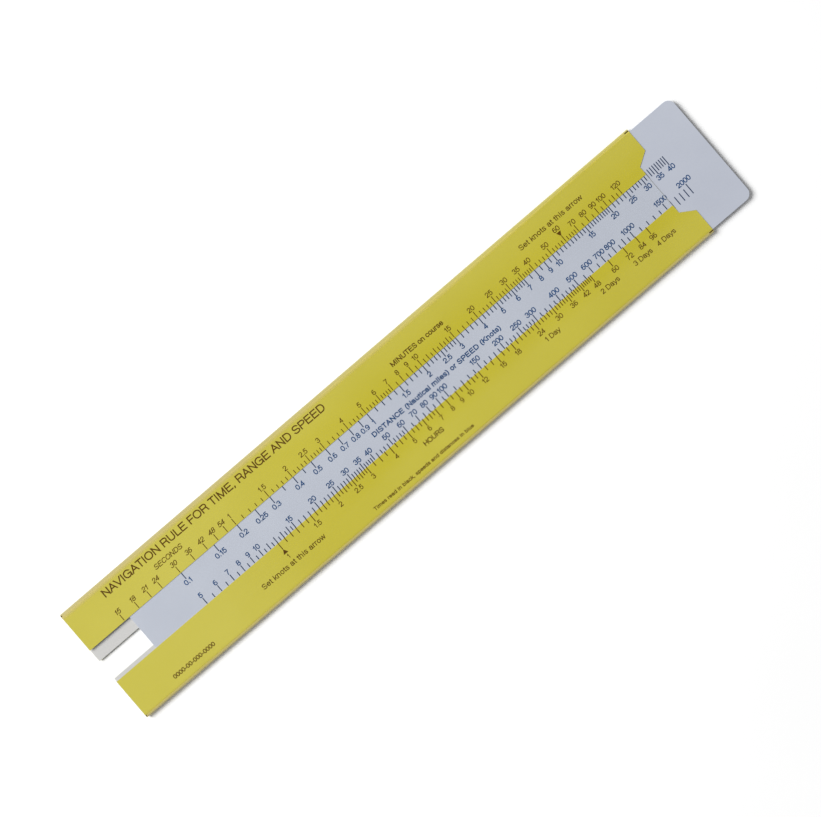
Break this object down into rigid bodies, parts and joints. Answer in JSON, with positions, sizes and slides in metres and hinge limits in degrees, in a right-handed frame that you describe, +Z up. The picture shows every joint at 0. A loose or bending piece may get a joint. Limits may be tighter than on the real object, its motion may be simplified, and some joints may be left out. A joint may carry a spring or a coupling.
{
  "type": "slide rule",
  "caption": "Flat plastic navigator's slide rule: a clear folded sleeve printed yellow round a long window, and a white slide with logarithmic scales for speed, time and distance.",
  "frame": {"origin": "below the middle of the whole rule with its slide set to 12 knots, on the plane that the flaps behind rest on", "axes": "+X along the rule towards the end with the thumb notch, where the slide is drawn out; +Y across the rule towards the seconds and minutes scale; +Z up, away from the flaps"},
  "size_m": [0.2998, 0.0504, 0.0022],
  "materials": {
    "clear_pvc": "clear calendered PVC sheet, glossy with fine scuffs",
    "yellow_ink": "opaque yellow screen print seen through the clear sheet",
    "white_ink": "opaque white screen print",
    "black_ink": "black screen print",
    "white_pvc": "cool white calendered PVC sheet, satin",
    "blue_ink": "blue screen print"
  },
  "bodies": {
    "sleeve": {"sleeve_sheet": "clear_pvc", "upper_yellow_print": "yellow_ink", "lower_yellow_print": "yellow_ink", "upper_white_backing": "white_ink", "lower_white_backing": "white_ink", "seconds_graduations": "black_ink", "minutes_graduations": "black_ink", "hours_graduations": "black_ink", "arrow_60_minutes": "black_ink", "arrow_1_hour": "black_ink", "fold_marks": "black_ink"},
    "slide": {"slide_sheet": "white_pvc", "slide_upper_graduations": "blue_ink", "slide_lower_graduations": "blue_ink"}
  },
  "joints": [
    {"name": "slide_travel", "type": "slide", "parent": "sleeve", "child": "slide", "axis": [1, 0, 0], "range_m": [-0.2036, 0.1905]}
  ]
}
